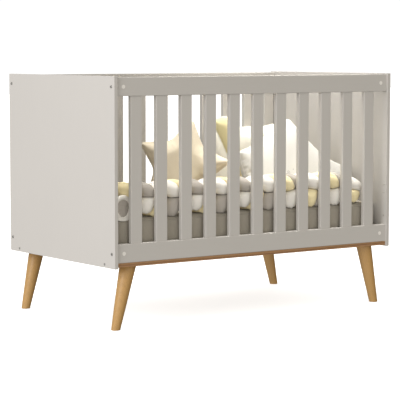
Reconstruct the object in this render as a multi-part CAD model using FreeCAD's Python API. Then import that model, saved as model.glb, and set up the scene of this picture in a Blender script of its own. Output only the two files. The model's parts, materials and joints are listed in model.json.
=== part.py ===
import FreeCAD, Part
import math
import os

V = FreeCAD.Vector

# Baby crib: two solid end panels, slatted front and rear sides, a low wood-look base board under each
# side, four splayed round legs, a height-adjustable slatted platform, and the bedding that goes with it.
# Frame: origin on the floor under the middle of the crib, +X along its length, -Y to the front, +Z up.
# All sizes are millimetres.

# ---- overall sizes -------------------------------------------------------------------------------
crib_length = 1340.0
crib_depth = 780.0
panel_height = 710.0
panel_thickness = 15.0
ground_clearance = 235.0
panel_edge_round = 1.2

# ---- side rails and slats ------------------------------------------------------------------------
rail_height = 70.0
rail_thickness = 25.0
rail_setback = 8.0
rail_edge_round = 2.5
top_rail_drop = 4.0
front_slat_count = 11
rear_end_gap = 7.6
slat_width = 49.0
slat_thickness = 18.0
slat_edge_round = 2.0
tenon_depth = 12.0
tenon_clearance = 0.1

# ---- base boards and legs ------------------------------------------------------------------------
board_thickness = 15.0
board_width = 110.0
board_lift = 5.0
leg_splay = 13.0
leg_inset_x = 90.5
leg_inset_y = 54.0
leg_top_radius = 31.0
leg_foot_radius = 17.0
foot_edge_round = 1.5

# ---- fasteners -----------------------------------------------------------------------------------
bolt_radius = 3.0
bolt_hole_clearance = 0.25
bolt_head_radius = 5.5
bolt_head_height = 2.5
hex_key_radius = 2.0
hex_key_depth = 1.6
nut_from_rail_end = 30.0
nut_radius = 5.0
nut_length = 16.0
nut_hole_clearance = 0.1
thread_clearance = 0.05
bolt_past_nut = 4.0
cap_radius = 7.5
cap_thickness = 2.0
cap_proud = 0.4
dowel_radius = 4.0
dowel_in_panel = 10.0
dowel_in_rail = 20.0
dowel_clearance = 0.1
dowel_offset = 18.0
end_gap = 0.5
board_screw_inset = 72.0
board_dowel_inset = 98.0
board_screw_radius = 2.5
board_screw_head_radius = 5.0
board_screw_length = 50.0
rail_screw_radius = 2.0
rail_screw_head_radius = 4.0
rail_screw_length = 35.0
rail_screws_per_side = 5
rail_screw_pitch = 280.0
leg_screw_radius = 3.0
leg_screw_head_radius = 6.0
leg_screw_length = 32.0
leg_screw_spacing = 28.0
insert_radius = 5.0
insert_length = 16.0
spare_hole_radius = 3.0
spare_hole_inset = 17.0
spare_hole_heights = (126.0, 221.0, 253.0)

# ---- mattress platform ---------------------------------------------------------------------------
platform_end_gap = 7.0
platform_side_gap = 11.0
platform_over_boards = 3.0
platform_rail_height = 25.0
platform_rail_width = 24.0
platform_slat_count = 10
platform_slat_width = 65.0
platform_slat_thickness = 12.0
platform_step = 95.0
platform_levels = 3
bracket_thickness = 2.5
bracket_width = 60.0
bracket_reach = 30.0
bracket_height = 32.0
bracket_y = 200.0
bracket_screw_spacing = 36.0
bracket_screw_height = 22.5
bracket_screw_radius = 2.0
bracket_screw_head_radius = 4.0
bracket_screw_head_height = 1.8
bracket_screw_length = 9.0
small_screw_radius = 1.75
small_screw_head_radius = 3.5
small_screw_length = 28.0

# ---- bedding -------------------------------------------------------------------------------------
soft_gap = 0.3
mattress_height = 120.0
mattress_end_gap = 7.0
mattress_side_gap = 11.0
mattress_corner_round = 55.0
mattress_edge_round = 18.0
bumper_height = 134.0
bumper_depth = 96.0
bumper_edge_round = 40.0
bumper_end_gap = 50.0
star_radius = 196.0
star_waist = 0.62
star_turn = 150.0
star_thickness = 76.0
star_lean = 8.0
star_x = -160.6
star_centre_height = 162.0
star_set_back = 157.9
facing_angle = 35.0
white_pillow_thickness = 84.0
white_pillow_lean = 19.0
white_pillow_set_back = 61.7
cream_pillow_width = 412.0
cream_pillow_height = 305.0
cream_pillow_thickness = 90.0
cream_pillow_x = 441.0
petal_thickness = 60.0
petal_x = 229.0
petal_set_back = 233.7

# ---- worked-out planes ---------------------------------------------------------------------------
half_length = crib_length / 2
half_depth = crib_depth / 2
inner_x = half_length - panel_thickness
panel_bottom = ground_clearance
panel_top = panel_bottom + panel_height
board_bottom = panel_bottom + board_lift
board_top = board_bottom + board_thickness
low_rail_bottom = board_top
low_rail_top = low_rail_bottom + rail_height
top_rail_top = panel_top - top_rail_drop
top_rail_bottom = top_rail_top - rail_height
rail_front = half_depth - rail_setback
rail_back = rail_front - rail_thickness
rail_middle = (rail_front + rail_back) / 2
slat_gap = (2 * inner_x - front_slat_count * slat_width) / (front_slat_count + 1)
platform_bottom = board_top + platform_over_boards
platform_rail_top = platform_bottom + platform_rail_height
platform_top = platform_rail_top + platform_slat_thickness
mattress_bottom = platform_top + soft_gap
mattress_top = mattress_bottom + mattress_height
bedding_floor = mattress_top + soft_gap
platform_half_x = inner_x - platform_end_gap
platform_half_y = rail_back - platform_side_gap
slat_inner_y = rail_middle - slat_thickness / 2
bumper_front_y = soft_gap + mattress_side_gap - rail_back
bumper_rear_y = bumper_front_y + bumper_depth


def box(x0, x1, y0, y1, z0, z1):
    """Box between two opposite corners."""
    return Part.makeBox(x1 - x0, y1 - y0, z1 - z0, V(x0, y0, z0))


def rod(start, direction, radius, length):
    """Cylinder from a start point along a direction."""
    return Part.makeCylinder(radius, length, start, direction)


def round_edges_along(shape, axis, radius):
    """Fillet every straight edge that runs along one axis."""
    picked = []
    for edge in shape.Edges:
        if isinstance(edge.Curve, Part.Line):
            ends = edge.Vertexes
            run = (ends[1].Point - ends[0].Point).normalize()
            if abs(run.dot(axis)) > 0.999:
                picked.append(edge)
    return shape.makeFillet(radius, picked)


def screw(tip_side, direction, radius, head_radius, length):
    """Countersunk screw: head face at tip_side, shank along direction."""
    head_depth = head_radius - radius
    head = Part.makeCone(head_radius, radius, head_depth, tip_side, direction)
    return head.fuse(rod(tip_side, direction, radius, length)).removeSplitter()


def screw_hole(tip_side, direction, radius, head_radius, length):
    """Pocket that a countersunk screw fits with the thread clearance all round."""
    gap = thread_clearance
    return screw(tip_side, direction, radius + gap, head_radius + gap, length + end_gap)


def mirrored(shape, normal):
    """Copy of a shape on the other side of the crib's middle."""
    return shape.mirror(V(0, 0, 0), normal)


def on_both_ends(shapes):
    """The shapes of the left end and their mirror images at the right end."""
    return shapes + [mirrored(shape, V(1, 0, 0)) for shape in shapes]


def on_both_sides(shapes):
    """The shapes of the front side and their mirror images at the rear side."""
    return shapes + [mirrored(shape, V(0, 1, 0)) for shape in shapes]


def rail_levels():
    """Middle heights of the low rail and of the top rail."""
    return [(low_rail_bottom + low_rail_top) / 2, (top_rail_bottom + top_rail_top) / 2]


# ---- positions shared by holes and what goes in them ---------------------------------------------
along = V(1, 0, 0)
up = V(0, 0, 1)
down = V(0, 0, -1)
front_y = -rail_middle


def rail_bolt_points():
    """Outer-face points of the rail bolts at the front left corner."""
    return [V(-half_length, front_y, level) for level in rail_levels()]


def dowel_points():
    """Panel-face points of the wooden dowels at the front left corner."""
    points = []
    for level in rail_levels():
        points.append(V(-inner_x, front_y, level - dowel_offset))
        points.append(V(-inner_x, front_y, level + dowel_offset))
    points.append(V(-inner_x, board_dowel_inset - half_depth, (board_bottom + board_top) / 2))
    return points


def board_screw_point():
    """Outer-face point of the base board's screw at the front left corner."""
    return V(-half_length, board_screw_inset - half_depth, (board_bottom + board_top) / 2)


def bracket_screw_points(level):
    """Panel-face points of one bracket's screws at a height level, front left corner."""
    height = platform_bottom - bracket_thickness + bracket_screw_height + level * platform_step
    half = bracket_screw_spacing / 2
    return [V(-inner_x, -bracket_y - half, height), V(-inner_x, -bracket_y + half, height)]


def leg_screw_points():
    """Board-top points of the screws of the front left leg."""
    x = leg_inset_x - half_length
    y = leg_inset_y - half_depth
    half = leg_screw_spacing / 2
    return [V(x, y - half, board_top), V(x, y + half, board_top)]


def rail_screw_points():
    """Underside points of the screws that hold the front base board to its rail."""
    first = -rail_screw_pitch * (rail_screws_per_side - 1) / 2
    return [V(first + i * rail_screw_pitch, front_y, board_bottom) for i in range(rail_screws_per_side)]


# ---- end panels ----------------------------------------------------------------------------------
def end_panel():
    """Left end panel, with all its holes."""
    slab = box(-half_length, -inner_x, -half_depth, half_depth, panel_bottom, panel_top)
    slab = slab.makeFillet(panel_edge_round, slab.Edges)
    cuts = []
    for point in rail_bolt_points():
        cuts.append(rod(point, along, bolt_radius + bolt_hole_clearance, panel_thickness))
    for point in dowel_points():
        cuts.append(rod(point, -along, dowel_radius + dowel_clearance, dowel_in_panel + end_gap))
    cuts.append(screw_hole(board_screw_point(), along, board_screw_radius, board_screw_head_radius,
                           board_screw_length))
    for level in range(platform_levels):
        for point in bracket_screw_points(level):
            cuts.append(rod(point, -along, bracket_screw_radius + thread_clearance, bracket_screw_length))
    cuts = on_both_sides(cuts)
    for height in spare_hole_heights:
        start = V(-inner_x, spare_hole_inset - half_depth, panel_bottom + height)
        cuts.append(rod(start, -along, spare_hole_radius, dowel_in_panel))
    return slab.cut(cuts)


# ---- rails and slats -----------------------------------------------------------------------------
def front_slat_lefts():
    """Left edges of the front side's slats, with equal gaps from end to end."""
    return [-inner_x + slat_gap + i * (slat_width + slat_gap) for i in range(front_slat_count)]


def rear_slat_lefts():
    """Left edges of the rear side's slats, one more than in front and between them."""
    pitch = (2 * (inner_x - rear_end_gap) - slat_width) / front_slat_count
    return [rear_end_gap - inner_x + i * pitch for i in range(front_slat_count + 1)]


def side_rail(bottom, mortise_bottom, slat_lefts):
    """Rail, in the front side's place, with mortises and the holes of bolts, nuts, caps and dowels."""
    top = bottom + rail_height
    middle = (bottom + top) / 2
    rail = box(-inner_x, inner_x, -rail_front, -rail_back, bottom, top)
    rail = round_edges_along(rail, along, rail_edge_round)
    half = slat_thickness / 2 + tenon_clearance
    cuts = []
    for left in slat_lefts:
        cuts.append(box(left - tenon_clearance, left + slat_width + tenon_clearance, front_y - half,
                        front_y + half, mortise_bottom, mortise_bottom + tenon_depth))
    ends = [rod(V(-inner_x, front_y, middle), along, bolt_radius + bolt_hole_clearance,
                nut_from_rail_end + nut_radius + bolt_past_nut + end_gap)]
    nut_x = nut_from_rail_end - inner_x
    nut_back = front_y + nut_length / 2 + end_gap
    ends.append(rod(V(nut_x, -rail_front, middle), V(0, 1, 0), nut_radius + nut_hole_clearance,
                    nut_back + rail_front))
    ends.append(rod(V(nut_x, -rail_front, middle), V(0, 1, 0), cap_radius + nut_hole_clearance,
                    cap_thickness - cap_proud))
    for offset in (-dowel_offset, dowel_offset):
        ends.append(rod(V(-inner_x, front_y, middle + offset), along, dowel_radius + dowel_clearance,
                        dowel_in_rail + end_gap))
    return rail.cut(cuts + on_both_ends(ends))


def side_low_rail(slat_lefts):
    """Low rail, in the front side's place, with the pilot holes of the base board's screws."""
    rail = side_rail(low_rail_bottom, low_rail_top - tenon_depth, slat_lefts)
    holes = [screw_hole(point, up, rail_screw_radius, rail_screw_head_radius, rail_screw_length)
             for point in rail_screw_points()]
    return rail.cut(holes)


def side_slat(left):
    """One upright slat, in the front side's place, whose ends are the tenons in the two rails."""
    slat = box(left, left + slat_width, front_y - slat_thickness / 2, front_y + slat_thickness / 2,
               low_rail_top - tenon_depth, top_rail_bottom + tenon_depth)
    return round_edges_along(slat, up, slat_edge_round)


# ---- base boards and legs ------------------------------------------------------------------------
def front_base_board():
    """Wood-look board under the front low rail, which carries the two front legs."""
    board = box(-inner_x, inner_x, -rail_front, board_width - rail_front, board_bottom, board_top)
    cuts = [screw_hole(board_screw_point(), along, board_screw_radius, board_screw_head_radius,
                       board_screw_length)]
    cuts.append(rod(dowel_points()[-1], along, dowel_radius + dowel_clearance, dowel_in_rail + end_gap))
    for point in leg_screw_points():
        cuts.append(screw_hole(point, down, leg_screw_radius, leg_screw_head_radius, leg_screw_length))
    cuts = on_both_ends(cuts)
    for point in rail_screw_points():
        cuts.append(screw_hole(point, up, rail_screw_radius, rail_screw_head_radius, rail_screw_length))
    return board.cut(cuts)


def front_left_leg():
    """Tapered round leg, splayed outwards along the crib, cut level at both ends."""
    splay = math.radians(leg_splay)
    axis = V(-math.sin(splay), 0, -math.cos(splay))
    length = board_bottom / math.cos(splay)
    spare = leg_top_radius
    taper = (leg_foot_radius - leg_top_radius) / length
    centre = V(leg_inset_x - half_length, leg_inset_y - half_depth, board_bottom)
    cone = Part.makeCone(leg_top_radius - taper * spare, leg_foot_radius + taper * spare,
                         length + 2 * spare, centre - axis * spare, axis)
    reach = board_bottom
    leg = cone.common(box(centre.x - reach, centre.x + reach, centre.y - reach, centre.y + reach,
                          0, board_bottom))
    foot_edges = [edge for edge in leg.Edges if edge.BoundBox.ZMax < 1]
    leg = leg.makeFillet(foot_edge_round, foot_edges)
    holes = [rod(V(point.x, point.y, board_bottom), down, insert_radius + nut_hole_clearance,
                 leg_screw_length - board_thickness + end_gap) for point in leg_screw_points()]
    return leg.cut(holes)


# ---- fasteners -----------------------------------------------------------------------------------
def rail_bolt(point):
    """Button-head bolt that pulls a rail against its end panel."""
    length = panel_thickness + nut_from_rail_end + nut_radius + bolt_past_nut
    head = rod(point, -along, bolt_head_radius, bolt_head_height)
    outer_edges = [edge for edge in head.Edges if edge.BoundBox.XMax < point.x - bolt_head_height / 2
                   and edge.BoundBox.YLength > bolt_head_radius]
    head = head.makeFillet(bolt_head_height * 0.6, outer_edges)
    key = rod(point - along * bolt_head_height, along, hex_key_radius, hex_key_depth)
    return head.fuse(rod(point, along, bolt_radius, length)).removeSplitter().cut(key)


def barrel_nut(point):
    """Cross dowel in the rail, with the bolt's thread through it."""
    centre = V(nut_from_rail_end - inner_x, front_y, point.z)
    nut = rod(centre - V(0, nut_length / 2, 0), V(0, 1, 0), nut_radius, nut_length)
    thread = rod(centre - along * 2 * nut_radius, along, bolt_radius + thread_clearance, 4 * nut_radius)
    return nut.cut(thread)


def nut_cap(point):
    """Round cover over the barrel nut's hole, a little proud of the rail's face."""
    start = V(nut_from_rail_end - inner_x, -rail_front - cap_proud, point.z)
    return rod(start, V(0, 1, 0), cap_radius, cap_thickness)


def wood_dowel(point):
    """Locating dowel, half in the panel and half in the rail or board."""
    return rod(point - along * dowel_in_panel, along, dowel_radius, dowel_in_panel + dowel_in_rail)


def leg_insert(point):
    """Threaded insert in the top of a leg."""
    top = V(point.x, point.y, board_bottom)
    body = rod(top, down, insert_radius, insert_length)
    return body.cut(rod(top, down, leg_screw_radius + thread_clearance, insert_length))


# ---- mattress platform ---------------------------------------------------------------------------
def platform_side_rail():
    """Front side rail of the platform."""
    rail = box(-platform_half_x, platform_half_x, -platform_half_y, platform_rail_width - platform_half_y,
               platform_bottom, platform_rail_top)
    return rail.cut(platform_slat_screw_holes() + on_both_ends(platform_corner_screw_holes()))


def platform_end_rail():
    """Left end rail of the platform, between the two side rails."""
    inner_y = platform_half_y - platform_rail_width
    rail = box(-platform_half_x, platform_rail_width - platform_half_x, -inner_y, inner_y,
               platform_bottom, platform_rail_top)
    return rail.cut(on_both_sides(platform_corner_screw_holes()))


def platform_slat_lefts():
    """Left edges of the platform's slats, spread evenly from end to end."""
    pitch = (2 * platform_half_x - platform_slat_width) / (platform_slat_count - 1)
    return [-platform_half_x + i * pitch for i in range(platform_slat_count)]


def platform_slat_screw_points():
    """Top points of the screws along the platform's front side rail."""
    y = platform_rail_width / 2 - platform_half_y
    return [V(left + platform_slat_width / 2, y, platform_top) for left in platform_slat_lefts()]


def platform_slat_screw_holes():
    """Pockets of the slat screws along the front side rail."""
    return [screw_hole(point, down, small_screw_radius, small_screw_head_radius, small_screw_length)
            for point in platform_slat_screw_points()]


def platform_corner_point():
    """Outer point of the screw through the side rail into the end rail, front left corner."""
    x = platform_rail_width / 2 - platform_half_x
    return V(x, -platform_half_y, (platform_bottom + platform_rail_top) / 2)


def platform_corner_screw_length():
    """Length that passes the side rail and bites the end rail."""
    return platform_rail_width + small_screw_length


def platform_corner_screw_holes():
    """Pocket of the corner screw, front left corner."""
    return [screw_hole(platform_corner_point(), V(0, 1, 0), small_screw_radius, small_screw_head_radius,
                       platform_corner_screw_length())]


def platform_slat(left):
    """One cross slat of the platform, with its two screw holes."""
    slat = box(left, left + platform_slat_width, -platform_half_y, platform_half_y,
               platform_rail_top, platform_top)
    return slat.cut(on_both_sides(platform_slat_screw_holes()))


def platform_bracket():
    """Steel angle on the end panel, under the platform's end rail, front left corner."""
    half = bracket_width / 2
    top = platform_bottom - soft_gap
    low = top - bracket_thickness
    shelf = box(-inner_x, bracket_reach - inner_x, -bracket_y - half, half - bracket_y, low, top)
    web = box(-inner_x, bracket_thickness - inner_x, -bracket_y - half, half - bracket_y,
              low, low + bracket_height)
    angle = shelf.fuse(web).removeSplitter()
    holes = [rod(point, along, bracket_screw_radius + thread_clearance, bracket_thickness)
             for point in bracket_screw_points(0)]
    return angle.cut(holes)


def bracket_screw(point):
    """Pan-head screw through the bracket into the panel."""
    head_start = point + along * bracket_thickness
    head = rod(head_start, along, bracket_screw_head_radius, bracket_screw_head_height)
    shank = rod(head_start, -along, bracket_screw_radius,
                bracket_thickness + bracket_screw_length - end_gap)
    return head.fuse(shank).removeSplitter()


# ---- bedding -------------------------------------------------------------------------------------
def mattress():
    """Foam mattress in its cover, a plain block with rounded corners."""
    half_x = inner_x - mattress_end_gap
    half_y = rail_back - mattress_side_gap
    block = box(-half_x, half_x, -half_y, half_y, mattress_bottom, mattress_top)
    block = round_edges_along(block, up, mattress_corner_round)
    rim = [edge for edge in block.Edges if edge.BoundBox.ZLength < 1]
    return block.makeFillet(mattress_edge_round, rim)


def braided_bumper():
    """Outer shape of the braided bumper that lies along the front slats."""
    bar = box(mattress_end_gap - inner_x, inner_x - bumper_end_gap, bumper_front_y, bumper_rear_y,
              bedding_floor, bedding_floor + bumper_height)
    return round_edges_along(bar, along, bumper_edge_round)


def upright(outline, thickness, lean, turn, place):
    """Cushion cut from an outline in the X-Z plane, leant back, turned and stood on the mattress."""
    wire = Part.makePolygon(outline + [outline[0]])
    solid = Part.Face(wire).extrude(V(0, thickness, 0))
    solid.translate(V(0, -thickness / 2, 0))
    solid.rotate(V(0, 0, 0), V(1, 0, 0), -lean)
    solid.rotate(V(0, 0, 0), V(0, 0, 1), -turn)
    solid.translate(place)
    return solid


def above_mattress(solid):
    """The part of a cushion above the mattress."""
    reach = crib_length
    return solid.common(box(-reach, reach, -reach, reach, bedding_floor, panel_top + reach))


def star_cushion():
    """Five-pointed star cushion, standing on two of its points and facing the front left."""
    outline = []
    for i in range(10):
        radius = star_radius if i % 2 == 0 else star_radius * star_waist
        angle = math.radians(star_turn + 36 * i)
        outline.append(V(radius * math.cos(angle), 0, radius * math.sin(angle)))
    place = V(star_x, bumper_rear_y + star_set_back, bedding_floor + star_centre_height)
    return above_mattress(upright(outline, star_thickness, star_lean, facing_angle, place))


def white_pillow():
    """Large pillow leaning back behind the bumper, one corner up."""
    outline = [V(85, 0, -30), V(98, 0, 230), V(378, 0, 369), V(480, 0, 253), V(530, 0, 209),
               V(577, 0, 176), V(640, 0, 140), V(645, 0, -30)]
    place = V(0, bumper_rear_y + white_pillow_set_back, mattress_top)
    solid = upright(outline, white_pillow_thickness, white_pillow_lean, 0, place)
    return above_mattress(solid)


def cream_pillow():
    """Pillow standing on its long edge against the rear slats."""
    half = cream_pillow_width / 2
    outline = [V(-half, 0, 0), V(-half, 0, cream_pillow_height), V(half, 0, cream_pillow_height),
               V(half, 0, 0)]
    y = slat_inner_y - cream_pillow_thickness / 2 - mattress_side_gap
    solid = upright(outline, cream_pillow_thickness, 0, 0, V(cream_pillow_x, y, bedding_floor))
    return round_edges_along(solid, V(0, 1, 0), cream_pillow_thickness / 2)


def petal_cushion():
    """Small pointed cushion standing on its tip between the star and the pillows, leaning left."""
    outline = [V(0, 0, 0), V(-36, 0, 200), V(-50, 0, 338), V(-105, 0, 348), V(-153, 0, 331)]
    place = V(petal_x, bumper_rear_y + petal_set_back, bedding_floor)
    return upright(outline, petal_thickness, 0, facing_angle, place)


# ---- nodes ---------------------------------------------------------------------------------------
def build_nodes():
    """Every node's name and shape."""
    across = V(0, 1, 0)
    left = V(1, 0, 0)
    nodes = {}

    nodes["end_panel_left"] = end_panel()
    nodes["end_panel_right"] = mirrored(nodes["end_panel_left"], left)

    nodes["front_top_rail"] = side_rail(top_rail_bottom, top_rail_bottom, front_slat_lefts())
    nodes["front_low_rail"] = side_low_rail(front_slat_lefts())
    nodes["front_base_board"] = front_base_board()
    nodes["rear_top_rail"] = mirrored(side_rail(top_rail_bottom, top_rail_bottom, rear_slat_lefts()), across)
    nodes["rear_low_rail"] = mirrored(side_low_rail(rear_slat_lefts()), across)
    nodes["rear_base_board"] = mirrored(nodes["front_base_board"], across)
    for number, slat_left in enumerate(front_slat_lefts(), 1):
        nodes["front_slat_%02d" % number] = side_slat(slat_left)
    for number, slat_left in enumerate(rear_slat_lefts(), 1):
        nodes["rear_slat_%02d" % number] = mirrored(side_slat(slat_left), across)

    leg = front_left_leg()
    nodes["leg_front_left"] = leg
    nodes["leg_front_right"] = mirrored(leg, left)
    nodes["leg_rear_left"] = mirrored(leg, across)
    nodes["leg_rear_right"] = mirrored(nodes["leg_front_right"], across)

    corner_groups = {
        "rail_bolts": [rail_bolt(point) for point in rail_bolt_points()],
        "barrel_nuts": [barrel_nut(point) for point in rail_bolt_points()],
        "nut_caps": [nut_cap(point) for point in rail_bolt_points()],
        "wood_dowels": [wood_dowel(point) for point in dowel_points()],
        "base_board_end_screws": [screw(board_screw_point(), along, board_screw_radius,
                                        board_screw_head_radius, board_screw_length)],
        "leg_screws": [screw(point, down, leg_screw_radius, leg_screw_head_radius, leg_screw_length)
                       for point in leg_screw_points()],
        "leg_inserts": [leg_insert(point) for point in leg_screw_points()],
        "platform_brackets": [platform_bracket()],
        "bracket_screws": [bracket_screw(point) for point in bracket_screw_points(0)],
        "platform_corner_screws": [screw(platform_corner_point(), across, small_screw_radius,
                                         small_screw_head_radius, platform_corner_screw_length())],
    }
    for name, shapes in corner_groups.items():
        nodes[name] = Part.makeCompound(on_both_sides(on_both_ends(shapes)))

    rail_screws = [screw(point, up, rail_screw_radius, rail_screw_head_radius, rail_screw_length)
                   for point in rail_screw_points()]
    nodes["base_board_rail_screws"] = Part.makeCompound(on_both_sides(rail_screws))
    slat_screws = [screw(point, down, small_screw_radius, small_screw_head_radius, small_screw_length)
                   for point in platform_slat_screw_points()]
    nodes["platform_slat_screws"] = Part.makeCompound(on_both_sides(slat_screws))

    nodes["platform_side_front"] = platform_side_rail()
    nodes["platform_side_rear"] = mirrored(nodes["platform_side_front"], across)
    nodes["platform_end_left"] = platform_end_rail()
    nodes["platform_end_right"] = mirrored(nodes["platform_end_left"], left)
    nodes["platform_slats"] = Part.makeCompound([platform_slat(x) for x in platform_slat_lefts()])

    nodes["mattress"] = mattress()
    nodes["braided_bumper"] = braided_bumper()
    nodes["star_cushion"] = star_cushion()
    nodes["white_pillow"] = white_pillow()
    nodes["cream_pillow"] = cream_pillow()
    nodes["petal_cushion"] = petal_cushion()
    return nodes


os.makedirs("parts", exist_ok=True)
for node_name, node_shape in build_nodes().items():
    if not node_shape.isValid():
        raise ValueError(node_name + " is not a valid shape")
    node_shape.exportStep("parts/" + node_name + ".step")
    print(node_name, len(node_shape.Solids), round(node_shape.Volume / 1000, 1), "cm3")
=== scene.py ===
"""Looks of the baby crib: painted panels, rails and slats, turned wooden legs, and its bedding."""

import json
import logging
import math
from contextlib import contextmanager
from dataclasses import dataclass
from enum import Enum
from typing import Any, Iterator, Optional, Sequence, Union

import bpy
import numpy as np
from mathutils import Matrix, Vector, noise

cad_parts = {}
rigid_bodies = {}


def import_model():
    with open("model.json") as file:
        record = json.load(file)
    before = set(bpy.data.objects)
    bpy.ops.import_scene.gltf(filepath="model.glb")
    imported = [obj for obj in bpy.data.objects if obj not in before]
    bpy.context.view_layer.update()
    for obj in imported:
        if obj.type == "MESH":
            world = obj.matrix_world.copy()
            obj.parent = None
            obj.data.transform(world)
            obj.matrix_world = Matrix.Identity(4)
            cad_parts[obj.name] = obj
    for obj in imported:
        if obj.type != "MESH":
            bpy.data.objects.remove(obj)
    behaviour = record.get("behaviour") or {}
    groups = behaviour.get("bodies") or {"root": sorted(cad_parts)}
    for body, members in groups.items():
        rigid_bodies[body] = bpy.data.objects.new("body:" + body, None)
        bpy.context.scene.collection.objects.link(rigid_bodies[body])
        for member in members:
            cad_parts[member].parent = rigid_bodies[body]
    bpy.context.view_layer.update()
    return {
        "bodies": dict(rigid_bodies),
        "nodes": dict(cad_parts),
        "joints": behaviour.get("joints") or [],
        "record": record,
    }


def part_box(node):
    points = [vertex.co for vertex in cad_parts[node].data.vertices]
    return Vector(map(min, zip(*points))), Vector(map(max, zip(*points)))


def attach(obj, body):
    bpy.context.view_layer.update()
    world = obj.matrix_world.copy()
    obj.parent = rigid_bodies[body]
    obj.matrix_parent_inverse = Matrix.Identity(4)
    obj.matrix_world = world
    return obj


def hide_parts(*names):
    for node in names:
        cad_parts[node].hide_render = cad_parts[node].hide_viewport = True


Colour = tuple[float, float, float]
log = logging.getLogger("crib")
UP = Vector((0.0, 0.0, 1.0))


def linear(level: int) -> float:
    """Light, from 0 to 1, of one 8-bit display level."""
    share = level / 255
    return share / 12.92 if share <= 0.04045 else ((share + 0.055) / 1.055) ** 2.4


def srgb(red: int, green: int, blue: int) -> Colour:
    """Linear colour of an 8-bit display colour."""
    return linear(red), linear(green), linear(blue)


# ---- node maths ----------------------------------------------------------------------------------
class Value:
    """One output in a node tree, so that shader maths reads as an expression."""

    def __init__(self, tree: bpy.types.NodeTree, socket: bpy.types.NodeSocket) -> None:
        """Wrap one output socket of a node tree."""
        self.tree = tree
        self.socket = socket

    def math(self, operation: str, *others: Union["Value", float], swap: bool = False) -> "Value":
        """Add one Math node.

        Args:
            operation: The Math node's operation.
            others: The other inputs, values or numbers.
            swap: True puts this value second.

        Returns:
            The node's result.
        """
        node = self.tree.nodes.new("ShaderNodeMath")
        node.operation = operation
        items = [*others, self] if swap else [self, *others]
        for slot, item in zip(node.inputs, items):
            if isinstance(item, Value):
                self.tree.links.new(item.socket, slot)
            else:
                slot.default_value = item
        return Value(self.tree, node.outputs[0])

    def __add__(self, other: Union["Value", float]) -> "Value":
        """Sum."""
        return self.math("ADD", other)

    def __radd__(self, other: float) -> "Value":
        """Sum with a number first."""
        return self.math("ADD", other)

    def __sub__(self, other: Union["Value", float]) -> "Value":
        """Difference."""
        return self.math("SUBTRACT", other)

    def __rsub__(self, other: float) -> "Value":
        """Difference with a number first."""
        return self.math("SUBTRACT", other, swap=True)

    def __mul__(self, other: Union["Value", float]) -> "Value":
        """Product."""
        return self.math("MULTIPLY", other)

    def __rmul__(self, other: float) -> "Value":
        """Product with a number first."""
        return self.math("MULTIPLY", other)

    def __pow__(self, other: float) -> "Value":
        """Power."""
        return self.math("POWER", other)

    def wave(self) -> "Value":
        """Sine, moved into 0 to 1."""
        return self.math("SINE") * 0.5 + 0.5

    def above(self, edge: float) -> "Value":
        """1 where the value is over the edge, else 0."""
        return self.math("GREATER_THAN", edge)


class Nodes:
    """A node tree, and the ways that nodes are added to it."""

    def __init__(self, tree: bpy.types.NodeTree) -> None:
        """Take a node tree."""
        self.tree = tree

    def node(self, kind: str, settings: Optional[dict[str, Any]] = None,
             inputs: Optional[dict[Union[str, int], Any]] = None, output: Union[str, int] = 0) -> Value:
        """Add any node.

        Args:
            kind: The node's type.
            settings: Its properties; "stops" fills a colour ramp.
            inputs: Values or links of its sockets.
            output: The output to use.

        Returns:
            The chosen output.
        """
        node = self.tree.nodes.new(kind)
        for name, value in (settings or {}).items():
            if name == "stops":
                ramp = node.color_ramp.elements
                while len(ramp) < len(value):
                    ramp.new(0.5)
                for element, (position, colour) in zip(ramp, value):
                    element.position = position
                    element.color = (*colour, 1.0)
            else:
                setattr(node, name, value)
        for name, value in (inputs or {}).items():
            if isinstance(value, Value):
                self.tree.links.new(value.socket, node.inputs[name])
            else:
                node.inputs[name].default_value = value
        return Value(self.tree, node.outputs[output])

    def axes(self, vector: Value) -> tuple[Value, Value, Value]:
        """The three parts of a vector."""
        split = self.node("ShaderNodeSeparateXYZ", {}, {0: vector}).socket.node
        return tuple(Value(self.tree, socket) for socket in split.outputs)

    def mix(self, factor: Union[Value, float], first: Union[Value, Colour],
            second: Union[Value, Colour]) -> Value:
        """Colour between two colours.

        Args:
            factor: 0 for the first colour, 1 for the second.
            first: One colour.
            second: The other colour.

        Returns:
            The mixed colour.
        """
        inputs = {0: factor}
        for slot, colour in ((6, first), (7, second)):
            inputs[slot] = colour if isinstance(colour, Value) else (*colour, 1.0)
        return self.node("ShaderNodeMix", {"data_type": "RGBA"}, inputs, output=2)


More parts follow.
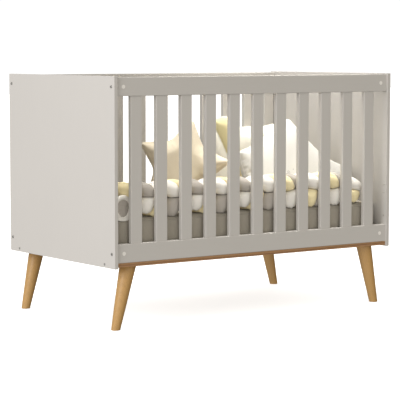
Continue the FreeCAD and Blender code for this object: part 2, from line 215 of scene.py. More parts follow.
class Shade(Nodes):
    """One material while it is being built on a Principled shader."""

    def __init__(self, name: str) -> None:
        """Start a material with an empty node tree and a Principled shader.

        Args:
            name: The material's name.
        """
        self.material = bpy.data.materials.new(name)
        self.material.use_nodes = True
        super().__init__(self.material.node_tree)
        self.tree.nodes.clear()
        output = self.tree.nodes.new("ShaderNodeOutputMaterial")
        self.shader = self.tree.nodes.new("ShaderNodeBsdfPrincipled")
        self.tree.links.new(self.shader.outputs[0], output.inputs[0])
        self.place = self.node("ShaderNodeTexCoord", output="Object")

    def stretched(self, scale: Sequence[float], turn: Sequence[float] = (0, 0, 0),
                  move: Sequence[float] = (0, 0, 0)) -> Value:
        """Object coordinates for a pattern with a direction.

        Args:
            scale: How much finer the pattern is along each axis.
            turn: How far the pattern is turned, in radians.
            move: How far the pattern is moved, in metres.

        Returns:
            The coordinates.
        """
        turned = self.node("ShaderNodeMapping", {"vector_type": "POINT"},
                           {"Vector": self.place, "Location": move, "Rotation": turn})
        return self.node("ShaderNodeVectorMath", {"operation": "MULTIPLY"}, {0: turned, 1: scale})

    def noise(self, scale: float, detail: float = 2.0, at: Optional[Value] = None) -> Value:
        """Noise from 0 to 1 at a scale per metre."""
        return self.node("ShaderNodeTexNoise", {}, {"Vector": at or self.place, "Scale": scale,
                                                    "Detail": detail, "Roughness": 0.55})

    def bump(self, height: Value, depth: float) -> None:
        """Raise the surface by a height from 0 to 1 times a depth in metres."""
        normal = self.node("ShaderNodeBump", {}, {"Height": height, "Distance": depth, "Strength": 1.0})
        self.put(Normal=normal)

    def put(self, **sockets: Any) -> None:
        """Set or link the shader's sockets.

        Args:
            sockets: Values or links by the sockets' names, with underscores for spaces.
        """
        for name, value in sockets.items():
            socket = self.shader.inputs[name.replace("_", " ")]
            if isinstance(value, Value):
                self.tree.links.new(value.socket, socket)
            else:
                socket.default_value = value


# ---- finishes ------------------------------------------------------------------------------------
def toned(colour: Colour, share: float) -> Colour:
    """A colour made lighter or darker by a share."""
    return tuple(min(1.0, part * share) for part in colour)


class Run(Enum):
    """The way that paint was brushed: its streaks per metre along each axis, few where they run."""

    LENGTH = (7.0, 230.0, 230.0)
    HEIGHT = (230.0, 230.0, 7.0)


@dataclass(frozen=True)
class Paint:
    """Matt paint, with roller texture, faint brushing and slight unevenness of tone."""

    name: str
    colour: Colour
    run: Run
    cloud_scale: float = 2.6
    peel_scale: float = 520.0
    peel_depth: float = 0.00012

    def make(self) -> bpy.types.Material:
        """Build the material.

        Returns:
            The material.
        """
        shade = Shade(self.name)
        cloud = shade.noise(self.cloud_scale, 3.0)
        brushed = shade.noise(1.0, 2.0, shade.stretched(self.run.value))
        peel = shade.noise(self.peel_scale, 1.0)
        tone = cloud * 0.55 + brushed * 0.45
        shade.put(Base_Color=shade.mix(tone, toned(self.colour, 0.95), toned(self.colour, 1.04)),
                  Roughness=0.42 + peel * 0.12 + brushed * 0.08, Specular_IOR_Level=0.4)
        shade.bump(peel * 0.6 + brushed * 0.4, self.peel_depth)
        return shade.material


@dataclass(frozen=True)
class Timber:
    """Solid wood or its printed likeness, with growth rings, fibres and pores.

    Attributes:
        along: Scale of the pattern on each axis, small on the one that the grain follows.
        turn: The grain's turn, in radians.
        move: The pattern's shift, in metres.
        ring: Width of one growth ring.
        figure: How strongly the rings show.
        pith: The middle of the rings, across the grain.
        wander: How far the rings stray from circles.
    """

    name: str
    pale: Colour
    dark: Colour
    along: tuple[float, float, float]
    turn: tuple[float, float, float] = (0.0, 0.0, 0.0)
    move: tuple[float, float, float] = (0.0, 0.0, 0.0)
    ring: float = 0.009
    figure: float = 0.5
    coat: float = 0.15
    pith: tuple[float, float] = (-0.031, -0.047)
    wander: float = 0.022
    bend_scale: float = 9.0
    fibre_scale: float = 520.0
    pore_scale: float = 1300.0
    pore_edge: float = 0.64
    fibre_depth: float = 0.00014

    def make(self) -> bpy.types.Material:
        """Build the material.

        Returns:
            The material.
        """
        shade = Shade(self.name)
        grain = shade.stretched(self.along, self.turn, self.move)
        bend = shade.noise(self.bend_scale, 2.0, grain)
        across = [part for part, share in zip(shade.axes(grain), self.along) if share > 0.5]
        one, other = (part - centre for part, centre in zip(across, self.pith))
        far = (one * one + other * other) ** 0.5
        rings = ((far + bend * self.wander) * (2 * math.pi / self.ring)).wave()
        fibres = shade.noise(self.fibre_scale, 2.0, grain)
        pores = shade.noise(self.pore_scale, 1.0, grain).above(self.pore_edge)
        tone = (rings ** 1.8) * self.figure + fibres * 0.42 + bend * 0.2 - 0.06
        wood = shade.node("ShaderNodeValToRGB",
                          {"stops": [(0.0, toned(self.pale, 1.12)), (0.45, self.pale), (1.0, self.dark)]},
                          {"Fac": tone})
        shade.put(Base_Color=shade.mix(pores * 0.35, wood, toned(self.dark, 0.6)),
                  Roughness=0.38 + fibres * 0.22, Coat_Weight=self.coat, Coat_Roughness=0.25)
        shade.bump(fibres * 0.6 - pores * 0.5, self.fibre_depth)
        return shade.material


@dataclass(frozen=True)
class Metal:
    """Plated or coated steel and brass, finely scratched."""

    name: str
    colour: Colour
    metallic: float
    roughness: float
    scratch_scale: float = 900.0
    scratch_depth: float = 0.00003

    def make(self) -> bpy.types.Material:
        """Build the material.

        Returns:
            The material.
        """
        shade = Shade(self.name)
        scratches = shade.noise(self.scratch_scale, 3.0, shade.stretched((1.0, 0.12, 1.0)))
        shade.put(Base_Color=shade.mix(scratches, toned(self.colour, 0.82), self.colour),
                  Metallic=self.metallic, Roughness=self.roughness + scratches * 0.18)
        shade.bump(scratches, self.scratch_depth)
        return shade.material


@dataclass(frozen=True)
class Plastic:
    """Moulded plastic with a fine spark texture."""

    name: str
    colour: Colour
    spark_scale: float = 1500.0
    spark_depth: float = 0.00006
    cloud_scale: float = 60.0

    def make(self) -> bpy.types.Material:
        """Build the material.

        Returns:
            The material.
        """
        shade = Shade(self.name)
        spark = shade.noise(self.spark_scale, 1.0)
        cloud = shade.noise(self.cloud_scale)
        shade.put(Base_Color=shade.mix(cloud, toned(self.colour, 0.96), self.colour),
                  Roughness=0.4 + spark * 0.2)
        shade.bump(spark, self.spark_depth)
        return shade.material


@dataclass(frozen=True)
class Cloth:
    """Woven cotton with threads, slubs and soft shading, and an optional scattered print."""

    name: str
    colour: Colour
    thread: float = 0.0011
    uneven: float = 0.07
    print_colour: Optional[Colour] = None
    sheen: float = 0.25
    slub: tuple[float, float, float] = (90.0, 90.0, 900.0)
    cloud_scale: float = 7.0
    weave_depth: float = 0.00035
    motifs_per_metre: float = 21.0
    dot_radius: float = 0.085
    ring_radii: tuple[float, float] = (0.13, 0.17)
    ink: float = 0.55

    def make(self) -> bpy.types.Material:
        """Build the material.

        Returns:
            The material.
        """
        shade = Shade(self.name)
        pitch = 2 * math.pi / self.thread
        x, y, z = shade.axes(shade.place)
        weave = ((x + y) * pitch).wave() * (z * pitch).wave()
        slub = shade.noise(1.0, 2.0, shade.stretched(self.slub))
        cloud = shade.noise(self.cloud_scale, 3.0)
        tone = cloud * 0.5 + slub * 0.35 + weave * 0.15
        colour = shade.mix(tone, toned(self.colour, 1 - self.uneven), toned(self.colour, 1 + self.uneven))
        if self.print_colour:
            colour = shade.mix(self.motifs(shade), colour, self.print_colour)
        shade.put(Base_Color=colour, Roughness=0.82 + slub * 0.12, Sheen_Weight=self.sheen,
                  Sheen_Roughness=0.5, Specular_IOR_Level=0.25)
        shade.bump(weave * 0.55 + slub * 0.45, self.weave_depth)
        return shade.material

    def motifs(self, shade: Shade) -> Value:
        """Small plain rings and dots, scattered with room between them.

        Args:
            shade: The cloth's material.

        Returns:
            The ink's strength, 0 where there is no print.
        """
        cells = {"Vector": shade.place, "Scale": self.motifs_per_metre}
        far = shade.node("ShaderNodeTexVoronoi", {"feature": "F1"}, cells, "Distance")
        pick = shade.axes(shade.node("ShaderNodeTexVoronoi", {"feature": "F1"}, cells, "Color"))[0]
        inner, outer = self.ring_radii
        dot = (1 - far.above(self.dot_radius)) * pick.above(0.5)
        ring = far.above(inner) * (1 - far.above(outer)) * pick.above(0.82)
        return (dot + ring).math("MINIMUM", 1.0) * self.ink


OFF_WHITE = srgb(188, 184, 178)
PINE_PALE = srgb(201, 174, 133)
PINE_DARK = srgb(166, 129, 84)
GRAIN_ALONG_LENGTH = (0.05, 1.0, 1.0)
GRAIN_ALONG_DEPTH = (1.0, 0.05, 1.0)
GRAIN_ALONG_LEG = (1.0, 1.0, 0.045)


class Finish(Enum):
    """Every finish on the crib, apart from the legs' own wood."""

    PANEL = Paint("panel_paint", OFF_WHITE, Run.HEIGHT)
    RAIL = Paint("rail_paint", OFF_WHITE, Run.LENGTH)
    SLAT = Paint("slat_paint", OFF_WHITE, Run.HEIGHT)
    BOARD = Timber("wood_look_foil", srgb(156, 117, 78), srgb(106, 69, 38), GRAIN_ALONG_LENGTH)
    PINE = Timber("planed_pine", PINE_PALE, PINE_DARK, GRAIN_ALONG_LENGTH, coat=0.0)
    PINE_ACROSS = Timber("planed_pine_slats", PINE_PALE, PINE_DARK, GRAIN_ALONG_DEPTH, coat=0.0)
    STEEL = Metal("zinc_plate", (0.36, 0.35, 0.33), 1.0, 0.32)
    COATED = Metal("white_coat", (0.72, 0.72, 0.70), 0.0, 0.4)
    BRASS = Metal("brass", (0.78, 0.6, 0.3), 1.0, 0.3)
    CAP = Plastic("cap_plastic", srgb(152, 147, 138))
    GREY = Cloth("grey_cotton", srgb(158, 151, 138), uneven=0.1)
    GREY_JERSEY = Cloth("grey_jersey", srgb(180, 173, 164), thread=0.0016)
    WHITE_JERSEY = Cloth("white_jersey", srgb(240, 236, 228), thread=0.0016, uneven=0.03)
    CREAM_JERSEY = Cloth("cream_jersey", srgb(245, 230, 184), thread=0.0016, uneven=0.04)
    STAR = Cloth("star_cotton", srgb(222, 210, 186), uneven=0.03)
    PRINTED = Cloth("printed_cotton", srgb(216, 214, 208), uneven=0.02, print_colour=srgb(96, 94, 90))
    CREAM = Cloth("cream_cotton", srgb(246, 244, 226), uneven=0.02)
    MUSTARD = Cloth("mustard_cotton", srgb(246, 236, 180), uneven=0.05)

    @property
    def material(self) -> bpy.types.Material:
        """The material, built once."""
        return bpy.data.materials.get(self.value.name) or self.value.make()


def dress(piece: bpy.types.Object, material: bpy.types.Material) -> None:
    """Give a whole piece one material."""
    piece.data.materials.clear()
    piece.data.materials.append(material)


# ---- modelling helpers ---------------------------------------------------------------------------
WELD = 1e-5     # points nearer than this are one


def only(piece: bpy.types.Object) -> None:
    """Make a piece the one selected and active object.

    Args:
        piece: The piece.
    """
    for other in bpy.context.view_layer.objects:
        other.select_set(other == piece)
    bpy.context.view_layer.objects.active = piece


def add(name: str, data: bpy.types.ID) -> bpy.types.Object:
    """Put new data in the scene.

    Args:
        name: The object's name.
        data: Its mesh, curve, light or camera.

    Returns:
        The object.
    """
    made = bpy.data.objects.new(name, data)
    bpy.context.scene.collection.objects.link(made)
    return made


@contextmanager
def editing(piece: bpy.types.Object, select: Optional[str] = "SELECT") -> Iterator[None]:
    """Edit one piece's mesh.

    Args:
        piece: The piece.
        select: SELECT or DESELECT for all of the mesh, or None to leave the selection as it is.

    Yields:
        Nothing, while the piece is in edit mode.
    """
    only(piece)
    bpy.ops.object.mode_set(mode="EDIT")
    if select:
        bpy.ops.mesh.select_all(action=select)
    yield
    bpy.ops.object.mode_set(mode="OBJECT")


def settle(piece: bpy.types.Object) -> None:
    """Put a piece's place, turn and scale into its mesh."""
    only(piece)
    bpy.ops.object.transform_apply(location=True, rotation=True, scale=True)


def apply(piece: bpy.types.Object, kind: str, **settings: Any) -> None:
    """Add one modifier and apply it.

    Args:
        piece: The piece.
        kind: The modifier's type.
        settings: The modifier's properties.
    """
    only(piece)
    modifier = piece.modifiers.new(kind.lower(), kind)
    for name, value in settings.items():
        setattr(modifier, name, value)
    bpy.ops.object.modifier_apply(modifier=modifier.name)


def rows(piece: bpy.types.Object, what: str) -> np.ndarray:
    """Read a vector from each point of a mesh.

    Args:
        piece: The piece.
        what: The points' property.

    Returns:
        One row for each point.
    """
    flat = np.zeros(len(piece.data.vertices) * 3)
    piece.data.vertices.foreach_get(what, flat)
    return flat.reshape(-1, 3)


def points(piece: bpy.types.Object) -> np.ndarray:
    """The mesh's points, one row each."""
    return rows(piece, "co")


def normals(piece: bpy.types.Object) -> np.ndarray:
    """The outward direction at each point."""
    return rows(piece, "normal")


def move_points(piece: bpy.types.Object, places: np.ndarray) -> None:
    """Put the mesh's points where the rows say."""
    piece.data.vertices.foreach_set("co", places.astype(np.float32).ravel())
    piece.data.update()


def smooth(piece: bpy.types.Object, degrees: float = 40.0) -> None:
    """Shade smoothly, with sharp edges kept."""
    only(piece)
    bpy.ops.object.shade_smooth_by_angle(angle=math.radians(degrees))


def copy_of_node(node: str, name: str) -> bpy.types.Object:
    """A welded copy of a CAD node as a new piece.

    Args:
        node: The CAD node.
        name: The new piece's name.

    Returns:
        The new piece, in the same place.
    """
    mesh = bpy.data.objects[node].data.copy()
    mesh.materials.clear()
    mesh.name = name
    piece = add(name, mesh)
    with editing(piece):
        bpy.ops.mesh.remove_doubles(threshold=WELD)
        bpy.ops.mesh.customdata_custom_splitnormals_clear()
    return piece


def remesh(piece: bpy.types.Object, size: float) -> None:
    """Rebuild the mesh of a closed piece in even squares."""
    apply(piece, "REMESH", mode="VOXEL", voxel_size=size, use_smooth_shade=True)


def piping(piece: bpy.types.Object, name: str, middle: Vector, normal: Vector,
           radius: float) -> bpy.types.Object:
    """Round cord sewn along the line where a plane cuts a cushion's skin.

    Args:
        piece: The cushion.
        name: The cord's name.
        middle: A point on the plane.
        normal: The plane's direction.
        radius: The cord's radius.

    Returns:
        The cord, as a mesh.
    """
    cord = piece.copy()
    cord.data = piece.data.copy()
    cord.name = name
    bpy.context.scene.collection.objects.link(cord)
    with editing(cord):
        bpy.ops.mesh.bisect(plane_co=middle, plane_no=normal, clear_inner=True, clear_outer=True)
    cord.data.materials.clear()
    bpy.ops.object.convert(target="CURVE")
    for spline in cord.data.splines:
        spline.use_smooth = True
    cord.data.bevel_depth = radius
    cord.data.bevel_resolution = 2
    bpy.ops.object.convert(target="MESH")
    smooth(cord, 80)
    return cord


# ---- the frame -----------------------------------------------------------------------------------
class Joinery:
    """The carried-over CAD pieces, each given its finish."""

    FINISHES: dict[str, Finish] = {
        "end_panel": Finish.PANEL, "front_slat": Finish.SLAT, "rear_slat": Finish.SLAT,
        "front_top_rail": Finish.RAIL, "rear_top_rail": Finish.RAIL, "front_low_rail": Finish.RAIL,
        "rear_low_rail": Finish.RAIL, "front_base_board": Finish.BOARD, "rear_base_board": Finish.BOARD,
        "platform_side": Finish.PINE, "platform_end": Finish.PINE_ACROSS,
        "platform_slats": Finish.PINE_ACROSS, "platform_brackets": Finish.COATED,
        "platform_slat_screws": Finish.STEEL, "leg_inserts": Finish.BRASS, "nut_caps": Finish.CAP,
        "wood_dowels": Finish.PINE}

    def dress(self, nodes: dict[str, bpy.types.Object]) -> None:
        """Assign a finish to every CAD node, steel where nothing else is named.

        Args:
            nodes: The CAD pieces by name.
        """
        for name, node in nodes.items():
            fitting = [start for start in self.FINISHES if name.startswith(start)]
            finish = self.FINISHES[max(fitting, key=len)] if fitting else Finish.STEEL
            dress(node, finish.material)


@dataclass
class Leg:
    """One turned, tapered and splayed leg.

    Attributes:
        node: The CAD node that the leg stands for.
        level_share: How much wider than its section the leaning leg is where it is cut level.
        plank_step: How far apart in the plank two legs come from, across it and deep.
    """

    node: str
    foot_radius: float = 0.017
    top_radius: float = 0.031
    foot_round: float = 0.0022
    rim_round: float = 0.0006
    foot_steps: int = 5
    rim_steps: int = 2
    rings: int = 64
    level_share: float = 1.026
    pale: Colour = srgb(174, 135, 78)
    dark: Colour = srgb(108, 70, 32)
    plank_step: tuple[float, float] = (0.011, 0.017)

    def build(self) -> bpy.types.Object:
        """Model the leg over its CAD node, from the foot's middle to the top's.

        Returns:
            The leg.
        """
        low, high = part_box(self.node)
        side = 1 if high.x > -low.x else -1
        splay = math.atan2(self.run(low, high), high.z - low.z)
        wide = self.top_radius / math.cos(splay)
        narrow = self.foot_radius / math.cos(splay)
        foot_x = high.x - narrow if side > 0 else low.x + narrow
        top_x = low.x + wide if side > 0 else high.x - wide
        foot = Vector((foot_x, (low.y + high.y) / 2, low.z))
        top = Vector((top_x, foot.y, high.z))
        axis = top - foot
        spare = self.top_radius
        taper = (self.top_radius - self.foot_radius) / axis.length * spare
        bpy.ops.object.select_all(action="DESELECT")
        bpy.ops.mesh.primitive_cone_add(
            vertices=self.rings, radius1=self.foot_radius - taper, radius2=self.top_radius + taper,
            depth=axis.length + 2 * spare, location=(foot + top) / 2,
            rotation=axis.to_track_quat("Z", "Y").to_euler())
        leg = bpy.context.active_object
        leg.name = "turned_" + self.node
        leg.data.name = leg.name
        settle(leg)
        self.cut(leg, foot, -UP)
        self.cut(leg, top, UP)
        self.round_rim(leg, low.z, self.foot_round, self.foot_steps)
        self.round_rim(leg, high.z, self.rim_round, self.rim_steps)
        smooth(leg, 30)
        dress(leg, self.wood(foot, -math.copysign(splay, side)).make())
        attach(leg, "crib_frame")
        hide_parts(self.node)
        return leg

    def run(self, low: Vector, high: Vector) -> float:
        """Sideways distance between the middles of the foot's and the top's level cuts."""
        return high.x - low.x - self.level_share * (self.foot_radius + self.top_radius)

    def wood(self, foot: Vector, lean: float) -> Timber:
        """Wood whose grain follows the leg, from its own place in the plank.

        Args:
            foot: The middle of the foot.
            lean: The leg's lean about the crib's depth, in radians.

        Returns:
            The wood.
        """
        number = sum(map(ord, self.node)) % 7
        across, deep = (number * step for step in self.plank_step)
        return Timber("leg_wood_" + self.node[4:], self.pale, self.dark, GRAIN_ALONG_LEG,
                      turn=(0.0, lean, 0.0), move=(across - foot.x, deep - foot.y, 0.0), figure=0.2)

    def cut(self, leg: bpy.types.Object, place: Vector, outward: Vector) -> None:
        """Saw the leg level and close the cut.

        Args:
            leg: The leg.
            place: A point on the cut.
            outward: The direction of what is cut away.
        """
        with editing(leg):
            bpy.ops.mesh.bisect(plane_co=place, plane_no=outward, use_fill=True, clear_outer=True)

    def round_rim(self, leg: bpy.types.Object, height: float, radius: float, steps: int) -> None:
        """Round the edge of a level cut.

        Args:
            leg: The leg.
            height: The cut's height.
            radius: The rounding's radius.
            steps: The faces that make the rounding.
        """
        with editing(leg, "DESELECT"):
            bpy.ops.mesh.select_mode(type="EDGE")
        for edge in leg.data.edges:
            edge.select = all(abs(leg.data.vertices[i].co.z - height) < WELD for i in edge.vertices)
        with editing(leg, None):
            bpy.ops.mesh.bevel(offset=radius, segments=steps, affect="EDGES")
            bpy.ops.mesh.select_mode(type="VERT")


# ---- bedding -------------------------------------------------------------------------------------
@dataclass
class Mattress:
    """Foam block in a fitted grey cover, creased down its sides, with corded edges.

    Attributes:
        square: Size of the mesh's squares.
        crease_sharpness: How narrow the creases are.
        bulge: Power that shapes the sides' swell, full at half height.
        cord_drop: Distance of a cord from the nearest broad face.
    """

    square: float = 0.008
    crease_depth: float = 0.0045
    crease_width: float = 0.085
    crease_sharpness: float = 2.2
    pucker_depth: float = 0.0009
    puckers_per_metre: float = 34.0
    bulge: float = 0.6
    cord_radius: float = 0.0022
    cord_drop: float = 0.012

    def build(self) -> list[bpy.types.Object]:
        """Model the mattress over its CAD node.

        Returns:
            The cover and its two cords.
        """
        low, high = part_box("mattress")
        piece = copy_of_node("mattress", "mattress_cover")
        remesh(piece, self.square)
        self.crease(piece, low.z, high.z)
        apply(piece, "SMOOTH", factor=0.5, iterations=2)
        smooth(piece, 180)
        dress(piece, Finish.GREY.material)
        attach(piece, "mattress")
        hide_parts("mattress")
        pieces = [piece]
        for name, height in (("top", high.z - self.cord_drop), ("bottom", low.z + self.cord_drop)):
            cord = piping(piece, "mattress_cord_" + name, Vector((0, 0, height)), UP, self.cord_radius)
            dress(cord, Finish.GREY.material)
            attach(cord, "mattress")
            pieces.append(cord)
        return pieces

    def crease(self, piece: bpy.types.Object, bottom: float, top: float) -> None:
        """Bulge the sides and crease them.

        Args:
            piece: The cover.
            bottom: The mattress's lowest height.
            top: Its highest.
        """
        places = points(piece)
        out = normals(piece)
        side = 1 - np.abs(out[:, 2])
        down = np.clip((top - places[:, 2]) / (top - bottom), 0, 1)
        for index, (x, y, z) in enumerate(places):
            along, across = (x + y) / self.crease_width, (x - y) / self.crease_width * 0.6
            fold = noise.noise(Vector((along, across, z * 1.6)))
            fine = noise.noise(Vector((x * self.puckers_per_metre, y * self.puckers_per_metre, z * 6 + 5)))
            swell = side[index] * math.sin(math.pi * down[index]) ** self.bulge
            fold_depth = self.crease_depth * (1 - self.crease_sharpness * abs(fold))
            places[index] += out[index] * swell * (fold_depth + self.pucker_depth * fine)
        move_points(piece, places)


@dataclass
class Braid:
    """Three stuffed jersey tubes braided into a bumper along the front slats.

    Attributes:
        pitch: Length in which a tube comes back to its place in the braid.
        phase_x: Where the white tube starts a turn.
        tube: A tube's radius.
        rise: How far a tube goes up and down from the middle.
        weave: How far a tube goes forwards and back.
        forward: How far the braid lies in front of its solid's middle.
        gap: Room left between pieces.
        around: Sides of a tube.
        step: Distance between a line's points.
        right_taper: Length in which the braid is drawn together at the right end.
        gathered: Share of the rise and weave that is left there.
        tip_share: Square of the smallest share that a tube's radius has at its closed ends.
        low_share: Share of the middle's height that the gathering doesn't lower.
        drift_x: Where the tubes' lateness changes most.
        drift_length: Length in which it changes.
        reach: Tubes nearer than this many radii press on each other.
        sag: How far the front lobes come down over the mattress's edge.
        sag_back: How far behind the front face the sag starts; it is full sag_depth further forward.
        sag_top: Height above the solid's foot where the sag starts; it is full sag_height lower.
        edge_round: Radius of the mattress's edge.
        over_front: How far the tubes may stand in front of the solid, over_top above, over_back behind.
        knot_x: The knot's place along the crib, with knot_back and knot_height from the solid's corner.
        knot_overlap: Share of the ring that the tube's end reaches into.
    """

    pitch: float = 0.229
    phase_x: float = -0.686
    tube: float = 0.0305
    rise: float = 0.037
    weave: float = 0.0215
    forward: float = 0.005
    gap: float = 0.0006
    around: int = 40
    step: float = 0.006
    right_taper: float = 0.2
    drift_x: float = 0.12
    drift_length: float = 0.06
    gathered: float = 0.35
    low_share: float = 0.2
    tip_share: float = 0.02
    reach: float = 2.6
    sag: float = 0.026
    sag_back: float = 0.022
    sag_depth: float = 0.02
    sag_top: float = 0.05
    sag_height: float = 0.045
    edge_round: float = 0.018
    over_front: float = 0.008
    over_top: float = 0.006
    over_back: float = 0.004
    knot_x: float = -0.600
    knot_back: float = 0.0115
    knot_height: float = 0.0455
    knot_radius: float = 0.0335
    knot_tube: float = 0.0095
    knot_overlap: float = 0.15
    end_bulge: float = 0.62
    pleats: int = 14
    pleat_depth: float = 0.0027

    def build(self) -> list[bpy.types.Object]:
        """Model the tubes in the bumper's space, pressed against each other, and the knotted end.

        Returns:
            The three tubes, the knot and the tube's end.
        """
        low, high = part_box("braided_bumper")
        lines = [self.line(low, high, strand) for strand in Strand]
        pieces = []
        for strand, line in zip(Strand, lines):
            piece = self.tube_along(line, "bumper_tube_" + strand.name.lower())
            others = [(other, lines[index]) for index, other in enumerate(Strand) if other is not strand]
            shares = [np.full(len(its), 0.5 + strand.value.firm - other.value.firm) for other, its in others]
            self.press(piece, line, np.vstack([its for _, its in others]), np.concatenate(shares))
            pieces.append((piece, strand.value.finish))
        knot = Vector((self.knot_x, low.y + self.knot_back, low.z + self.knot_height))
        pieces.append((self.knot(knot), Finish.WHITE_JERSEY))
        pieces.append((self.stuffed_end(knot), Finish.GREY_JERSEY))
        for piece, finish in pieces:
            self.settle_down(piece, low, high)
            smooth(piece, 180)
            dress(piece, finish.material)
            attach(piece, "bumper")
        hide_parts("braided_bumper")
        return [piece for piece, _ in pieces]

    def line(self, low: Vector, high: Vector, strand: "Strand") -> np.ndarray:
        """Centre line of one tube, drawn together at the right end.

        Args:
            low: The bumper's lowest corner.
            high: Its highest corner.
            strand: The tube.

        Returns:
            The line's points, one row each.
        """
        way = strand.value
        first, last = low.x + way.start, high.x - way.stop
        xs = np.linspace(first, last, int((last - first) / self.step))
        past = np.tanh((xs - self.drift_x) / self.drift_length)
        late = way.late + way.drift * past
        angle = 2 * math.pi * ((xs - self.phase_x - late) / self.pitch - way.turn / 3)
        right = np.clip((last - xs) / self.right_taper, 0, 1)
        gather = self.gathered + (1 - self.gathered) * np.sin(right * math.pi / 2)
        ys = (low.y + high.y) / 2 - self.forward + self.weave * np.sin(2 * angle) * gather
        middle = low.z + self.tube + self.rise * (self.low_share + (1 - self.low_share) * gather)
        zs = middle + self.rise * np.sin(angle) * gather
        lift = way.lift * (1 - past) / 2
        return np.column_stack([xs, ys, zs + lift * (1 - np.sin(angle)) / 2])

    def tube_along(self, line: np.ndarray, name: str) -> bpy.types.Object:
        """Round tube with closed, rounded ends.

        Args:
            line: Its centre line.
            name: Its name.

        Returns:
            The tube, as a mesh.
        """
        curve = bpy.data.curves.new(name, "CURVE")
        curve.dimensions = "3D"
        spline = curve.splines.new("POLY")
        spline.points.add(len(line) - 1)
        for index, (point, place) in enumerate(zip(spline.points, line)):
            point.co = (*place, 1.0)
            end = min(index, len(line) - 1 - index) * self.step / self.tube
            point.radius = math.sqrt(max(self.tip_share, 1 - max(0.0, 1 - end) ** 2))
        curve.bevel_depth = self.tube
        curve.bevel_resolution = self.around // 4
        curve.use_fill_caps = True
        piece = add(name, curve)
        only(piece)
        bpy.ops.object.convert(target="MESH")
        with editing(piece):
            bpy.ops.mesh.remove_doubles(threshold=WELD)
            bpy.ops.mesh.normals_make_consistent(inside=False)
        piece.data.name = name
        return piece

    def knot(self, middle: Vector) -> bpy.types.Object:
        """White tube wrapped once round the grey tube's end, at the left.

        Args:
            middle: The ring's middle.

        Returns:
            The ring.
        """
        bpy.ops.object.select_all(action="DESELECT")
        bpy.ops.mesh.primitive_torus_add(location=middle, rotation=(math.pi / 2, 0, 0), major_segments=64,
                                         minor_segments=24, major_radius=self.knot_radius,
                                         minor_radius=self.knot_tube)
        ring = bpy.context.active_object
        ring.name = ring.data.name = "bumper_knot"
        settle(ring)
        return ring

    def stuffed_end(self, middle: Vector) -> bpy.types.Object:
        """Pleated round end of the grey tube, inside the knot.

        Args:
            middle: The knot's middle.

        Returns:
            The end.
        """
        radius = self.knot_radius - self.knot_overlap * self.knot_tube
        bpy.ops.object.select_all(action="DESELECT")
        bpy.ops.mesh.primitive_uv_sphere_add(segments=72, ring_count=28, radius=1.0, location=middle,
                                             rotation=(math.pi / 2, 0, 0),
                                             scale=(radius, radius, self.end_bulge * self.knot_tube))
        end = bpy.context.active_object
        end.name = end.data.name = "bumper_tube_end"
        settle(end)
        places = points(end)
        out = places - np.array(middle)
        around = np.arctan2(out[:, 2], out[:, 0])
        far = np.hypot(out[:, 0], out[:, 2]) / radius
        places[:, 1] += self.pleat_depth * np.sin(around * self.pleats) * far * np.clip(1.1 - far, 0, 1)
        move_points(end, places)
        return end

    def press(self, piece: bpy.types.Object, own: np.ndarray, others: np.ndarray,
              shares: np.ndarray) -> None:
        """Flatten a tube where it meets the others.

        Args:
            piece: The tube.
            own: Its centre line.
            others: The other tubes' centre lines.
            shares: How far out the tube reaches towards each point of the others.
        """
        places = points(piece)
        for _ in range(2):
            mine = own[self.nearest(places, own)]
            met = self.nearest(places, others)
            away = others[met] - mine
            border = mine + away * shares[met][:, None]
            span = np.linalg.norm(away, axis=1)[:, None] + 1e-9
            away /= span
            over = ((places - border) * away).sum(axis=1)[:, None] + self.gap
            over = np.where(span < self.reach * self.tube, np.clip(over, 0, self.tube), 0)
            places -= away * over
        move_points(piece, places)

    def settle_down(self, piece: bpy.types.Object, low: Vector, high: Vector) -> None:
        """Let the front lobes sag over the mattress's rounded edge, and keep clear of the slats.

        Args:
            piece: A tube, the knot or the tube's end.
            low: The bumper's lowest corner.
            high: Its highest corner.
        """
        places = points(piece)
        for _ in range(2):
            ahead = np.clip((low.y + self.sag_back - places[:, 1]) / self.sag_depth, 0, 1)
            under = np.clip((low.z + self.sag_top - places[:, 2]) / self.sag_height, 0, 1)
            places[:, 2] -= self.sag / 2 * (ahead * ahead * (3 - 2 * ahead)) * under
        edge = low.y + self.edge_round
        over = np.clip(edge - places[:, 1], 0, self.edge_round)
        fall = self.edge_round - np.sqrt(self.edge_round ** 2 - over ** 2)
        floor = np.where(places[:, 1] > low.y, low.z + self.gap - fall, low.z - self.edge_round)
        places[:, 2] = np.clip(places[:, 2], floor, high.z + self.over_top)
        places[:, 1] = np.clip(places[:, 1], low.y - self.over_front, high.y + self.over_back)
        move_points(piece, places)
        apply(piece, "SMOOTH", factor=0.4, iterations=3)

    @staticmethod
    def nearest(places: np.ndarray, line: np.ndarray, batch: int = 4000) -> np.ndarray:
        """Find the point of a line that is nearest to each place.

        Args:
            places: The places.
            line: The line's points.
            batch: How many places are measured at a time.

        Returns:
            The row of the nearest point for each place.
        """
        found = np.empty(len(places), dtype=int)
        for first in range(0, len(places), batch):
            part = places[first:first + batch]
            square = ((part[:, None, :] - line[None, :, :]) ** 2).sum(axis=2)
            found[first:first + batch] = square.argmin(axis=1)
        return found


@dataclass(frozen=True)
class Way:
    """How one tube runs in the braid.

    Each tube has its turn in the order, and comes late by a distance that drifts from left to right.
    A lift raises its low lobes on the left, and a firm tube gives way less than the others.
    """

    turn: int
    finish: Finish
    start: float
    stop: float
    late: float = 0.0
    drift: float = 0.0
    lift: float = 0.0
    firm: float = 0.0


